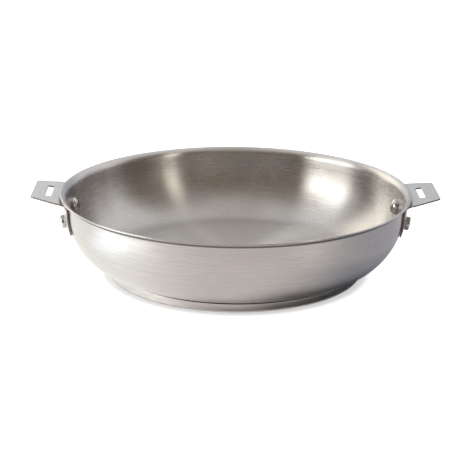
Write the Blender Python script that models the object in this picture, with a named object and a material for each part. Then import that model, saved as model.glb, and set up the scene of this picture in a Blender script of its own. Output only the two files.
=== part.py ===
"""A 28 cm stainless steel frying pan with two riveted flanges for a lift-off handle.

The pan stands on Z = 0 with its axis on Z. The flanges lie along X, and the front is at -Y.
Sizes are in metres. Each size is written once, and what meets another piece is worked out from it.
"""

import math

import bmesh
import bpy
from mathutils import Matrix, Vector

MM = 0.001

# Sizes of the whole pan
RIM_RADIUS = 145.0 * MM
PAN_HEIGHT = 68.6 * MM
BASE_RADIUS = 106.0 * MM
FIT_GAP = 0.3 * MM

# Sandwich base: a magnetic cup holding an aluminium disc
CAP_SHEET = 0.8 * MM
CAP_EDGE_RADIUS = 1.5 * MM
CORE_THICKNESS = 6.3 * MM
CORE_CHAMFER = 0.5 * MM

# Pressed shell: flat floor, full turn, leaning wall and rolled lip
SHELL_SHEET = 1.0 * MM
FOOT_INSET = 4.5 * MM
TURN_HEIGHT = 48.5 * MM
TURN_FULLNESS = 1.78
TURN_EASE = 2.0
WALL_LEAN = math.radians(2.0)
LIP_BEND_RADIUS = 5.8 * MM
LIP_END_ANGLE = math.radians(78.0)

# Handle flange: a leg along the wall, a bend under the lip and a slotted tab
FLANGE_PLATE = 1.5 * MM
TAB_TILT = math.radians(9.4)
TAB_DROP = 2.9 * MM
TAB_FLAT_SETBACK = 0.8 * MM
TAB_ROOT_CURVE_RADIUS = 420.0 * MM
TAB_ROOT_HALF = 32.5 * MM
TAB_TAPER = 8.4 * MM
TAB_CORNER_RADIUS = 2.4 * MM
SLOT_SETBACK = 6.5 * MM
SLOT_WIDTH = 4.8 * MM
SLOT_TO_TAB_END = 10.7 * MM
SLOT_END_MARGIN = 9.3 * MM
SLOT_CORNER_RADIUS = 0.8 * MM
SHOULDER = 7.5 * MM
BEND_DROP = 3.7 * MM
LEG_CORNER_RADIUS = 3.0 * MM

# Rivets: a domed head inside the pan and a formed head on the flange
RIVET_BELOW_BEND = 13.9 * MM
LEG_BELOW_RIVET = 7.7 * MM
RIVET_EDGE_DISTANCE = 17.5 * MM
SHANK_RADIUS = 2.75 * MM
INNER_HEAD_OVERLAP = 3.8 * MM
INNER_HEAD_RISE = 4.5 * MM
INNER_HEAD_EDGE = 0.6 * MM
OUTER_HEAD_OVERLAP = 2.85 * MM
OUTER_HEAD_THICKNESS = 3.3 * MM
OUTER_HEAD_BEVEL = 1.2 * MM

# Fineness of the faceted surfaces
TURNED_STEPS = 72
RIVET_STEPS = 24
TURN_STEPS = 13
LIP_STEPS = 6
EDGE_STEPS = 3
CORNER_STEPS = 3
LEG_STEPS = 4
BEND_STEPS = 6
TAB_STEPS = 3
SLOT_COLUMNS = 4
SIDE_COLUMNS = 4
DOME_STEPS = 5
BEVEL_STEPS = 2
SHARP_ANGLE = math.radians(35.0)
SAME_POINT = 1.0e-6

# A small step for reading a slope, and how far a cutter reaches past what it cuts
SLOPE_STEP = 0.1 * MM
CUTTER_REACH = 4.0

# Heights that follow from the base
CORE_BOTTOM = CAP_SHEET + FIT_GAP
CAP_HEIGHT = CORE_BOTTOM + CORE_THICKNESS
SHELL_BOTTOM = CAP_HEIGHT + FIT_GAP
CAP_INNER_RADIUS = BASE_RADIUS - CAP_SHEET
CORE_RADIUS = CAP_INNER_RADIUS - FIT_GAP
FOOT_RADIUS = BASE_RADIUS - FOOT_INSET

# The lip's roll, on the middle of the sheet, from the wall's lean to its own end angle
LIP_END_RADIUS = RIM_RADIUS - 0.5 * SHELL_SHEET
LIP_END_HEIGHT = PAN_HEIGHT - 0.5 * SHELL_SHEET
LIP_CENTRE = Vector(
    (
        LIP_END_RADIUS + LIP_BEND_RADIUS * math.cos(LIP_END_ANGLE),
        LIP_END_HEIGHT - LIP_BEND_RADIUS * math.sin(LIP_END_ANGLE),
    )
)
LIP_OUTSIDE = LIP_BEND_RADIUS - 0.5 * SHELL_SHEET
LIP_INSIDE = LIP_BEND_RADIUS + 0.5 * SHELL_SHEET

# Where the wall's outside would meet the base if it had no turn
WALL_TOP_RADIUS = LIP_CENTRE.x - LIP_OUTSIDE * math.cos(WALL_LEAN)
WALL_TOP_HEIGHT = LIP_CENTRE.y + LIP_OUTSIDE * math.sin(WALL_LEAN)
WALL_SLOPE = math.tan(WALL_LEAN)
WALL_FOOT_RADIUS = WALL_TOP_RADIUS - WALL_SLOPE * (WALL_TOP_HEIGHT - SHELL_BOTTOM)

# Places on the flange, which hangs from the lip
TAB_HEIGHT_AT_LIP = PAN_HEIGHT - TAB_DROP
TAB_FLAT_START = RIM_RADIUS + TAB_FLAT_SETBACK
SLOT_START = RIM_RADIUS + SLOT_SETBACK
TAB_END = SLOT_START + SLOT_WIDTH + SLOT_TO_TAB_END
TAB_END_HALF = TAB_ROOT_HALF - TAB_TAPER
SLOT_HALF = TAB_END_HALF - SLOT_END_MARGIN
LEG_HALF = TAB_ROOT_HALF + SHOULDER
BEND_START = TAB_HEIGHT_AT_LIP - BEND_DROP
RIVET_HEIGHT = BEND_START - RIVET_BELOW_BEND
LEG_BOTTOM = RIVET_HEIGHT - LEG_BELOW_RIVET
RIVET_SIDE = LEG_HALF - RIVET_EDGE_DISTANCE
HOLE_RADIUS = SHANK_RADIUS + FIT_GAP


def wall_radius(height):
    """The radius of the wall's outside at a height above the base, up to the lip."""
    left = (SHELL_BOTTOM + TURN_HEIGHT - height) / TURN_HEIGHT
    left = min(max(left, 0.0), 1.0)
    turned = (1.0 - left**TURN_EASE) ** (1.0 / TURN_FULLNESS)
    lean = WALL_SLOPE * (height - SHELL_BOTTOM)
    return FOOT_RADIUS + (WALL_FOOT_RADIUS - FOOT_RADIUS) * turned + lean


def wall_slope(height):
    """How fast the wall's radius grows with height there."""
    above = wall_radius(height + SLOPE_STEP)
    below = wall_radius(height - SLOPE_STEP)
    return (above - below) / (2.0 * SLOPE_STEP)


def seat_radius(height, gap):
    """The radius of a surface that lies a gap outside the wall, measured square to it."""
    return wall_radius(height) + gap * math.hypot(1.0, wall_slope(height))


def clear_scene():
    for old in list(bpy.data.objects):
        bpy.data.objects.remove(old)


def metal(name, colour, roughness):
    """A plain metal of one colour and roughness."""
    material = bpy.data.materials.new(name)
    material.use_nodes = True
    shader = material.node_tree.nodes["Principled BSDF"]
    shader.inputs["Base Color"].default_value = (*colour, 1.0)
    shader.inputs["Roughness"].default_value = roughness
    shader.inputs["Metallic"].default_value = 1.0
    return material


def finish_mesh(bm, name, material):
    """Turns the faces outward, shades them smooth and makes a mesh of them."""
    bmesh.ops.remove_doubles(bm, verts=bm.verts, dist=SAME_POINT)
    bmesh.ops.recalc_face_normals(bm, faces=bm.faces)
    mesh = bpy.data.meshes.new(name)
    bm.to_mesh(mesh)
    bm.free()
    mesh.shade_smooth()
    mesh.set_sharp_from_angle(angle=SHARP_ANGLE)
    mesh.materials.append(material)
    return mesh


def turned_mesh(name, profile, steps, material):
    """A solid turned round Z from (radius, height) points that start and end on the axis."""
    bm = bmesh.new()
    points = [bm.verts.new((radius, 0.0, height)) for radius, height in profile]
    edges = [bm.edges.new(pair) for pair in zip(points, points[1:])]
    bmesh.ops.spin(
        bm,
        geom=points + edges,
        cent=(0.0, 0.0, 0.0),
        axis=(0.0, 0.0, 1.0),
        angle=2.0 * math.pi,
        steps=steps,
        use_merge=True,
    )
    return finish_mesh(bm, name, material)


def add_object(name, mesh, parent, place=None):
    """One named piece, parented to the pan and standing at its place."""
    piece = bpy.data.objects.new(name, mesh)
    bpy.context.scene.collection.objects.link(piece)
    piece.parent = parent
    if place is not None:
        piece.matrix_world = place
    return piece


def arc_points(centre, radius, start, end, steps):
    """Points on an arc round a centre, from the start angle to the end angle."""
    points = []
    for step in range(steps + 1):
        angle = start + (end - start) * step / steps
        points.append(centre + radius * Vector((math.cos(angle), math.sin(angle))))
    return points


def turn_points():
    """The wall's outside from the foot up to the top of the turn, closer together near the foot."""
    points = []
    for step in range(TURN_STEPS + 1):
        angle = 0.5 * math.pi * step / TURN_STEPS
        left = max(math.cos(angle), 0.0) ** (2.0 / TURN_EASE)
        height = SHELL_BOTTOM + TURN_HEIGHT * (1.0 - left)
        points.append(Vector((wall_radius(height), height)))
    return points


def inward_offset(points, distance):
    """The same line moved square to itself, towards the inside of the pan."""
    moved = []
    for index, point in enumerate(points):
        before = points[max(index - 1, 0)]
        after = points[min(index + 1, len(points) - 1)]
        along = (after - before).normalized()
        moved.append(point + distance * Vector((-along.y, along.x)))
    return moved


def shell_profile():
    """The pressed sheet: up the outside, over the lip and down the inside to the floor."""
    outside = turn_points()
    inside = inward_offset(outside, SHELL_SHEET)
    inside[0] = Vector((FOOT_RADIUS, SHELL_BOTTOM + SHELL_SHEET))
    lip_start = math.pi - WALL_LEAN
    lip_end = math.pi - LIP_END_ANGLE
    lip_outside = arc_points(LIP_CENTRE, LIP_OUTSIDE, lip_start, lip_end, LIP_STEPS)
    lip_inside = arc_points(LIP_CENTRE, LIP_INSIDE, lip_end, lip_start, LIP_STEPS)
    edge_centre = Vector((LIP_END_RADIUS, LIP_END_HEIGHT))
    edge = arc_points(edge_centre, 0.5 * SHELL_SHEET, lip_end - math.pi, lip_end, EDGE_STEPS)
    profile = [Vector((0.0, SHELL_BOTTOM))]
    profile += outside
    profile += lip_outside
    profile += edge[1:-1]
    profile += lip_inside
    profile += reversed(inside)
    profile.append(Vector((0.0, SHELL_BOTTOM + SHELL_SHEET)))
    return profile


def cap_profile():
    """The cup under the base, with a rounded bottom edge."""
    edge_centre = Vector((BASE_RADIUS - CAP_EDGE_RADIUS, CAP_EDGE_RADIUS))
    inner_edge_radius = max(CAP_EDGE_RADIUS - CAP_SHEET, 0.0)
    down, side = -0.5 * math.pi, 0.0
    profile = [Vector((0.0, 0.0))]
    profile += arc_points(edge_centre, CAP_EDGE_RADIUS, down, side, EDGE_STEPS)
    profile.append(Vector((BASE_RADIUS, CAP_HEIGHT)))
    profile.append(Vector((CAP_INNER_RADIUS, CAP_HEIGHT)))
    profile += arc_points(edge_centre, inner_edge_radius, side, down, EDGE_STEPS)
    profile.append(Vector((0.0, CAP_SHEET)))
    return profile


def core_profile():
    """The disc that spreads the heat, chamfered so that it clears the cup's rounded edge."""
    lower_chamfer = CORE_CHAMFER + max(CAP_EDGE_RADIUS - CAP_SHEET, 0.0)
    return [
        Vector((0.0, CORE_BOTTOM)),
        Vector((CORE_RADIUS - lower_chamfer, CORE_BOTTOM)),
        Vector((CORE_RADIUS, CORE_BOTTOM + lower_chamfer)),
        Vector((CORE_RADIUS, CAP_HEIGHT - CORE_CHAMFER)),
        Vector((CORE_RADIUS - CORE_CHAMFER, CAP_HEIGHT)),
        Vector((0.0, CAP_HEIGHT)),
    ]


def tab_height(out):
    """The height of the tab's top face at a distance out from the pan's axis."""
    return TAB_HEIGHT_AT_LIP + math.tan(TAB_TILT) * (out - RIM_RADIUS)


def leg_point(height, side):
    """A point on the leg's face towards the wall."""
    radius = seat_radius(height, FIT_GAP)
    return Vector((math.sqrt(radius**2 - side**2), side, height))


def tab_flat_start(side):
    """Where the flat of the tab begins, a little nearer the pan at its sides."""
    return TAB_FLAT_START - side**2 / (2.0 * TAB_ROOT_CURVE_RADIUS)


def bend_point(share, side):
    """A point in the bend: a curve along both the leg's line and the tab's."""
    start = leg_point(BEND_START, side)
    below = leg_point(BEND_START - SLOPE_STEP, side)
    slope = (start.x - below.x) / SLOPE_STEP
    flat = tab_flat_start(side)
    end = Vector((flat, side, tab_height(flat)))
    rise = math.tan(TAB_TILT)
    meet_height = (end.z + rise * (start.x - slope * start.z - end.x)) / (1.0 - rise * slope)
    meet = Vector((start.x + slope * (meet_height - start.z), side, meet_height))
    return (1.0 - share) ** 2 * start + 2.0 * share * (1.0 - share) * meet + share**2 * end


def flange_point(station, side):
    """A point on the flange's upper face. Station 0 to 1 is the leg, 1 to 2 the bend and 2 to 3 the tab."""
    if station <= 1.0:
        return leg_point(LEG_BOTTOM + station * (BEND_START - LEG_BOTTOM), side)
    if station <= 2.0:
        return bend_point(station - 1.0, side)
    flat = tab_flat_start(side)
    out = flat + (station - 2.0) * (TAB_END - flat)
    return Vector((out, side, tab_height(out)))


def flange_normal(station, side):
    """The direction square to the flange's upper face, away from the wall and down from the tab."""
    step = SLOPE_STEP / (TAB_END - TAB_FLAT_START)
    low = min(max(station - step, 0.0), 3.0 - 2.0 * step)
    along = flange_point(low + 2.0 * step, side) - flange_point(low, side)
    across = flange_point(station, side + SLOPE_STEP) - flange_point(station, side - SLOPE_STEP)
    return across.cross(along).normalized()


def corner_rows(radius):
    """How far each row through a rounded corner lies from the end, and how far its side is drawn in."""
    rows = []
    for step in range(CORNER_STEPS + 1):
        angle = 0.5 * math.pi * step / CORNER_STEPS
        rows.append((radius * (1.0 - math.cos(angle)), radius * (1.0 - math.sin(angle))))
    return rows


def flange_rows():
    """Each row across the flange, as its station and its half-width."""
    leg_length = BEND_START - LEG_BOTTOM
    tab_length = TAB_END - TAB_FLAT_START
    rows = []
    for from_end, drawn_in in corner_rows(LEG_CORNER_RADIUS):
        rows.append((from_end / leg_length, LEG_HALF - drawn_in))
    corner_top = LEG_CORNER_RADIUS / leg_length
    for step in range(1, LEG_STEPS + 1):
        rows.append((corner_top + (1.0 - corner_top) * step / LEG_STEPS, LEG_HALF))
    for step in range(1, BEND_STEPS + 1):
        share = step / BEND_STEPS
        rows.append((1.0 + share, TAB_ROOT_HALF + SHOULDER * (1.0 - share) ** 2))
    corner_start = 1.0 - TAB_CORNER_RADIUS / tab_length
    for step in range(1, TAB_STEPS):
        share = corner_start * step / TAB_STEPS
        rows.append((2.0 + share, TAB_ROOT_HALF - TAB_TAPER * share))
    for from_end, drawn_in in reversed(corner_rows(TAB_CORNER_RADIUS)):
        share = 1.0 - from_end / tab_length
        rows.append((2.0 + share, TAB_ROOT_HALF - TAB_TAPER * share - drawn_in))
    return rows


def flange_columns(half_width):
    """Distances across one row: even over the slot's length, then even out to each side."""
    middle = [SLOT_HALF * (2.0 * step / SLOT_COLUMNS - 1.0) for step in range(SLOT_COLUMNS + 1)]
    outer = []
    for step in range(1, SIDE_COLUMNS + 1):
        outer.append(SLOT_HALF + (half_width - SLOT_HALF) * step / SIDE_COLUMNS)
    return [-side for side in reversed(outer)] + middle + outer


def flange_mesh(material):
    """The bent plate: an upper face, a lower face one plate below it, and the edge between them."""
    bm = bmesh.new()
    upper, lower = [], []
    for station, half_width in flange_rows():
        upper_row, lower_row = [], []
        for side in flange_columns(half_width):
            point = flange_point(station, side)
            upper_row.append(bm.verts.new(point))
            lower_row.append(bm.verts.new(point + FLANGE_PLATE * flange_normal(station, side)))
        upper.append(upper_row)
        lower.append(lower_row)
    for face in (upper, lower):
        for row, next_row in zip(face, face[1:]):
            for column in range(len(row) - 1):
                corners = (row[column], row[column + 1], next_row[column + 1], next_row[column])
                bm.faces.new(corners)
    upper_edge = outline(upper)
    lower_edge = outline(lower)
    for index in range(len(upper_edge)):
        after = (index + 1) % len(upper_edge)
        bm.faces.new((upper_edge[index], upper_edge[after], lower_edge[after], lower_edge[index]))
    return finish_mesh(bm, "handle_flange", material)


def outline(grid):
    """The points round the outside of a grid of points, in order."""
    first, last = grid[0], grid[-1]
    right = [row[-1] for row in grid[1:-1]]
    left = [row[0] for row in grid[1:-1]]
    return first + right + last[::-1] + left[::-1]


def slot_cutter(name, half_turn, parent):
    """A bar with rounded corners, square to the tab, that cuts the handle's slot."""
    length_on_tab = SLOT_WIDTH / math.cos(TAB_TILT)
    middle = SLOT_START + 0.5 * SLOT_WIDTH
    bm = bmesh.new()
    bmesh.ops.create_cube(bm, size=1.0)
    size = Matrix.Diagonal((length_on_tab, 2.0 * SLOT_HALF, CUTTER_REACH * FLANGE_PLATE, 1.0))
    bmesh.ops.transform(bm, matrix=size, verts=bm.verts)
    upright = []
    for edge in bm.edges:
        low, high = edge.verts
        if abs(high.co.z - low.co.z) > FLANGE_PLATE:
            upright.append(edge)
    bmesh.ops.bevel(
        bm,
        geom=upright,
        offset=SLOT_CORNER_RADIUS,
        segments=BEVEL_STEPS,
        affect="EDGES",
        profile=0.5,
    )
    mesh = bpy.data.meshes.new(name)
    bm.to_mesh(mesh)
    bm.free()
    tilt = Matrix.Rotation(-TAB_TILT, 4, "Y")
    place = half_turn @ Matrix.Translation((middle, 0.0, tab_height(middle))) @ tilt
    return hide_cutter(add_object(name, mesh, parent, place))


def hide_cutter(cutter):
    cutter.hide_render = True
    cutter.display_type = "WIRE"
    return cutter


def cut(piece, cutter):
    """Cuts one closed shape out of a piece."""
    modifier = piece.modifiers.new(cutter.name, "BOOLEAN")
    modifier.operation = "DIFFERENCE"
    modifier.solver = "EXACT"
    modifier.object = cutter


def rivet_place(side):
    """The frame of a rivet on the right flange: its seat on the wall's outside, with Z outward."""
    radius = wall_radius(RIVET_HEIGHT)
    turn = math.asin(side / radius)
    lean = math.atan(wall_slope(RIVET_HEIGHT))
    outward = Matrix.Rotation(0.5 * math.pi + lean, 4, "Y")
    seat = Vector((radius * math.cos(turn), radius * math.sin(turn), RIVET_HEIGHT))
    return Matrix.Translation(seat) @ Matrix.Rotation(turn, 4, "Z") @ outward


def rivet_profile():
    """The rivet along its axis, outward from 0 at the wall's outside, inner head first."""
    inner_radius = SHANK_RADIUS + INNER_HEAD_OVERLAP
    outer_radius = SHANK_RADIUS + OUTER_HEAD_OVERLAP
    inside = wall_radius(RIVET_HEIGHT) - SHELL_SHEET
    curve_room = inner_radius**2 / (2.0 * inside)
    facet_room = inside * (1.0 - math.cos(math.pi / TURNED_STEPS))
    inner_seat = -(SHELL_SHEET + FIT_GAP + curve_room + facet_room)
    dome_base = inner_seat - INNER_HEAD_EDGE
    dome_rise = INNER_HEAD_RISE - INNER_HEAD_EDGE
    outer_seat = FIT_GAP + FLANGE_PLATE + FIT_GAP
    outer_top = outer_seat + OUTER_HEAD_THICKNESS
    bevel_centre = Vector((outer_radius - OUTER_HEAD_BEVEL, outer_top - OUTER_HEAD_BEVEL))
    profile = []
    for step in range(DOME_STEPS + 1):
        angle = 0.5 * math.pi * step / DOME_STEPS
        profile.append(
            Vector((inner_radius * math.sin(angle), dome_base - dome_rise * math.cos(angle)))
        )
    profile.append(Vector((inner_radius, inner_seat)))
    profile.append(Vector((SHANK_RADIUS, inner_seat)))
    profile.append(Vector((SHANK_RADIUS, outer_seat)))
    profile.append(Vector((outer_radius, outer_seat)))
    profile += arc_points(bevel_centre, OUTER_HEAD_BEVEL, 0.0, 0.5 * math.pi, EDGE_STEPS)
    profile.append(Vector((0.0, outer_top)))
    return profile


def hole_cutter(name, place, parent):
    """A round bar on a rivet's axis, through the wall and the flange's leg."""
    bm = bmesh.new()
    bmesh.ops.create_cone(
        bm,
        cap_ends=True,
        segments=RIVET_STEPS,
        radius1=HOLE_RADIUS,
        radius2=HOLE_RADIUS,
        depth=CUTTER_REACH * (SHELL_SHEET + FLANGE_PLATE),
    )
    mesh = bpy.data.meshes.new(name)
    bm.to_mesh(mesh)
    bm.free()
    return hide_cutter(add_object(name, mesh, parent, place))


def build():
    clear_scene()
    pan = bpy.data.objects.new("frying_pan", None)
    bpy.context.scene.collection.objects.link(pan)

    brushed_steel = metal("shell_steel", (0.56, 0.54, 0.53), 0.25)
    aluminium = metal("core_aluminium", (0.77, 0.78, 0.79), 0.4)
    base_steel = metal("base_steel", (0.52, 0.50, 0.49), 0.3)
    flange_steel = metal("flange_steel", (0.58, 0.57, 0.57), 0.4)
    rivet_steel = metal("rivet_steel", (0.60, 0.59, 0.57), 0.18)

    shell = turned_mesh("pan_shell", shell_profile(), TURNED_STEPS, brushed_steel)
    core = turned_mesh("base_core", core_profile(), TURNED_STEPS, aluminium)
    cap = turned_mesh("base_cap", cap_profile(), TURNED_STEPS, base_steel)
    rivet = turned_mesh("rivet", rivet_profile(), RIVET_STEPS, rivet_steel)
    flange = flange_mesh(flange_steel)

    shell_piece = add_object("pan_shell", shell, pan)
    add_object("base_core", core, pan)
    add_object("base_cap", cap, pan)

    # The front is at -Y, so the two ends swap over on the left, which is turned half way round
    for side_name, turn, front_end in (("right", 0.0, -1.0), ("left", math.pi, 1.0)):
        half_turn = Matrix.Rotation(turn, 4, "Z")
        mount = bpy.data.objects.new("handle_side_" + side_name, None)
        bpy.context.scene.collection.objects.link(mount)
        mount.parent = pan
        mount.matrix_world = half_turn
        flange_piece = add_object("handle_flange_" + side_name, flange, mount, half_turn)
        cut(flange_piece, slot_cutter("slot_cutter_" + side_name, half_turn, mount))
        for end_name, end in (("front", front_end), ("rear", -front_end)):
            name = side_name + "_" + end_name
            place = half_turn @ rivet_place(end * RIVET_SIDE)
            add_object("rivet_" + name, rivet, mount, place)
            hole = hole_cutter("hole_cutter_" + name, place, mount)
            cut(flange_piece, hole)
            cut(shell_piece, hole)


build()
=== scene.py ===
"""Dresses the frying pan's frame in fine turned and bent steel, with a soft studio and the camera.

The pan stands on Z = 0 with its axis on Z, its flanges along X and its front at -Y. Sizes are in metres.
"""

import math

import bmesh
import bpy
from mathutils import Matrix, Vector


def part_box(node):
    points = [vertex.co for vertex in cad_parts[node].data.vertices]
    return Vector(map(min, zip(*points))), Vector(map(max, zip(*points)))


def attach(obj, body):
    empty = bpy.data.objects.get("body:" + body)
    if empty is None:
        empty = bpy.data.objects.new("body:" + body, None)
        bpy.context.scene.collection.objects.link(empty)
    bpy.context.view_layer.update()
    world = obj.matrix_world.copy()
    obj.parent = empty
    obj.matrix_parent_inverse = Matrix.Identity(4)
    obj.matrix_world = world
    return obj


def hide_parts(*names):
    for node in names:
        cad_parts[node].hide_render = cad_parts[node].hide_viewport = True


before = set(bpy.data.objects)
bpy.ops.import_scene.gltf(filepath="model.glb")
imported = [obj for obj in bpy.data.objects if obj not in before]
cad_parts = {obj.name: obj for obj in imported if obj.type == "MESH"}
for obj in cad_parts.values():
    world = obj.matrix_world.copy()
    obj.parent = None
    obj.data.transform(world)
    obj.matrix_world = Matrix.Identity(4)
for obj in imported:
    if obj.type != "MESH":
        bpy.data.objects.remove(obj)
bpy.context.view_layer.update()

MM = 0.001

# Sizes read from the frame's solids, and the pan's height
SHELL_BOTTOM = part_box("pan_shell")[0].z
PAN_HEIGHT = 68.6 * MM
RIM_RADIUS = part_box("pan_shell")[1].y
BASE_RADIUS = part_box("base_cap")[1].x
CAP_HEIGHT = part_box("base_cap")[1].z

# Sheet metal of the shell and the cap
SHELL_SHEET = 1.0 * MM
FOOT_INSET = 4.5 * MM
TURN_HEIGHT = 48.5 * MM
TURN_FULLNESS = 1.78
TURN_EASE = 2.0
WALL_LEAN = math.radians(2.0)
LIP_BEND_RADIUS = 5.8 * MM
LIP_END_ANGLE = math.radians(78.0)
CAP_SHEET = 0.8 * MM
CAP_EDGE_RADIUS = 1.5 * MM
CAP_RIM_RADIUS = 0.3 * MM

# Handle flange
FIT_GAP = 0.3 * MM
FLANGE_PLATE = 1.5 * MM
TAB_TILT = math.radians(9.4)
TAB_DROP = 2.9 * MM
TAB_FLAT_SETBACK = 0.8 * MM
TAB_ROOT_CURVE_RADIUS = 420.0 * MM
TAB_ROOT_HALF = 32.5 * MM
TAB_TAPER = 8.4 * MM
TAB_CORNER_RADIUS = 2.4 * MM
SLOT_SETBACK = 6.5 * MM
SLOT_WIDTH = 4.8 * MM
SLOT_TO_TAB_END = 10.7 * MM
SLOT_END_MARGIN = 9.3 * MM
SLOT_CORNER_RADIUS = 0.8 * MM
SHOULDER = 7.5 * MM
BEND_DROP = 3.7 * MM
LEG_CORNER_RADIUS = 3.0 * MM
PLATE_EDGE_RADIUS = 0.35 * MM
SHOULDER_ROUNDING = 1.2 * MM
ROOT_FADE = 5.0 * MM
BEND_LENGTH = 7.5 * MM

# Rivets
RIVET_BELOW_BEND = 13.9 * MM
LEG_BELOW_RIVET = 7.7 * MM
RIVET_EDGE_DISTANCE = 17.5 * MM
SHANK_RADIUS = 2.75 * MM
INNER_HEAD_RADIUS = 6.55 * MM
INNER_HEAD_RISE = 4.5 * MM
INNER_HEAD_EDGE = 0.6 * MM
OUTER_HEAD_RADIUS = 5.6 * MM
OUTER_HEAD_THICKNESS = 3.3 * MM
OUTER_HEAD_BEVEL = 1.2 * MM

# Fineness
TURNED_STEPS = 288
RIVET_STEPS = 64
TURN_STEPS = 56
WALL_STEPS = 12
FLOOR_STEPS = 20
LIP_STEPS = 14
EDGE_STEPS = 8
SMALL_EDGE_STEPS = 4
CORNER_STEPS = 6
LEG_STEPS = 8
BEND_STEPS = 12
TAB_STEPS = 4
SLOT_STEPS = 4
SLOT_COLUMNS = 10
SIDE_COLUMNS = 8
DOME_STEPS = 16
SLOPE_STEP = 0.05 * MM

# Finishes
STEEL_PALE = (0.63, 0.61, 0.595, 1.0)
STEEL_DARK = (0.52, 0.505, 0.49, 1.0)
SATIN_PALE = (0.68, 0.67, 0.66, 1.0)
SATIN_DARK = (0.6, 0.59, 0.58, 1.0)
RIVET_PALE = (0.55, 0.54, 0.53, 1.0)
RIVET_DARK = (0.47, 0.46, 0.45, 1.0)
# The cut edge's colour, much darker than bare steel: painted shade along the plate's edges over its grain
CUT_SHADED_PALE = (0.26, 0.22, 0.19, 1.0)
CUT_SHADED_DARK = (0.12, 0.1, 0.08, 1.0)
CORE_PALE = (0.8, 0.8, 0.8, 1.0)
CORE_DARK = (0.7, 0.7, 0.7, 1.0)
# Painted shade: the dark colour laid into narrow corners where shade falls
PAINTED_SHADE_STEEL = (0.025, 0.022, 0.02, 1.0)
EVEN_GRAIN = (1.0, 1.0, 1.0)
TAB_GRAIN = (1.0, 0.3, 1.0)
EDGE_GRAIN = (1.0, 1.0, 0.3)
RING_TURN = 0.25

# Brushing: the spacing of its lines, how far round they reach in radians, and their share of the grain
FINE_LINES = 0.6 * MM
FINE_REACH = 0.1
FINE_DETAIL = 2.0
FINE_SHARE = 0.65
BROAD_LINES = 1.7 * MM
BROAD_REACH = 1.2
BROAD_DETAIL = 3.0
BROAD_SHARE = 1.0 - FINE_SHARE
GRAIN_DEPTH = 0.0013 * MM
GRAIN_DETAIL = 4.0
SMUDGE_SCALE = 22.0
SMUDGE_DETAIL = 3.0

# The pan's floor is brushed less finely than its wall, and the change lies between these radii
MIDDLE_START = 104.0 * MM
MIDDLE_END = 112.0 * MM

# Painted shade: dark rings above the foot, under the lip and round the cap's rim, where shade falls in narrow
# corners; the heights where each starts, is full, stops being full and ends
SHADE_ABOVE_FOOT = (
    SHELL_BOTTOM - 2.0 * MM,
    SHELL_BOTTOM - 1.0 * MM,
    SHELL_BOTTOM + 2.1 * MM,
    SHELL_BOTTOM + 3.0 * MM,
)
SHADE_UNDER_LIP = (
    PAN_HEIGHT - 4.8 * MM,
    PAN_HEIGHT - 3.9 * MM,
    PAN_HEIGHT - 2.9 * MM,
    PAN_HEIGHT - 2.3 * MM,
)
SHADE_ROUND_CAP_RIM = (
    CAP_HEIGHT - 0.3 * MM,
    CAP_HEIGHT - 0.15 * MM,
    CAP_HEIGHT + 1.0 * MM,
    CAP_HEIGHT + 2.0 * MM,
)
UNDER_LIP_SHADE_SHARE = 0.78
SHADE_FADE = 1.0 * MM

# The part of a noise's range that is used, and the sockets of a Mix node that mixes colours
NOISE_LOW = 0.3
NOISE_HIGH = 0.7
MIX_SHARE, MIX_FIRST, MIX_SECOND, MIX_RESULT = 0, 6, 7, 2

# Studio
WORLD_LIGHT = 0.85
FLOOR_COLOUR = (0.8, 0.8, 0.8)
FLOOR_RADIUS = 4.0
FLOOR_SIDES = 64
MAT_GAP = 1.0 * MM
MAT_REACH = 2.5
WHOLE = "whole"
CARD_ROWS = 40
CARD_COLUMNS = 60

# The floor's lift to white in the open and its smaller lift at its contact with the base, a painted contact
# shadow, and how contact is judged
FLOOR_LIFT = 0.8
CONTACT_LIFT = 0.42
CONTACT_REACH = 10.0 * MM
CONTACT_OPEN = 0.4
OPENNESS_SAMPLES = 16

# Camera, fitted to the pan's rim and base in a picture of 472 by 472
PICTURE_WIDTH = 472
SENSOR_WIDTH = 36.0
FOCAL_PIXELS = 1412.0
CAMERA_DISTANCE = 1.1260
CAMERA_HEIGHT = 0.3930
CAMERA_SIDE = 0.0007
CAMERA_PITCH = math.radians(17.943)
CAMERA_TURN = math.radians(-1.063)
CAMERA_ROLL = math.radians(0.61)

# Heights and radii that follow
FOOT_RADIUS = BASE_RADIUS - FOOT_INSET
LIP_END_RADIUS = RIM_RADIUS - 0.5 * SHELL_SHEET
LIP_END_HEIGHT = PAN_HEIGHT - 0.5 * SHELL_SHEET
LIP_CENTRE = Vector(
    (
        LIP_END_RADIUS + LIP_BEND_RADIUS * math.cos(LIP_END_ANGLE),
        LIP_END_HEIGHT - LIP_BEND_RADIUS * math.sin(LIP_END_ANGLE),
    )
)
LIP_OUTSIDE = LIP_BEND_RADIUS - 0.5 * SHELL_SHEET
LIP_INSIDE = LIP_BEND_RADIUS + 0.5 * SHELL_SHEET
WALL_TOP_RADIUS = LIP_CENTRE.x - LIP_OUTSIDE * math.cos(WALL_LEAN)
WALL_TOP_HEIGHT = LIP_CENTRE.y + LIP_OUTSIDE * math.sin(WALL_LEAN)
WALL_SLOPE = math.tan(WALL_LEAN)
WALL_FOOT_RADIUS = WALL_TOP_RADIUS - WALL_SLOPE * (WALL_TOP_HEIGHT - SHELL_BOTTOM)

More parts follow.
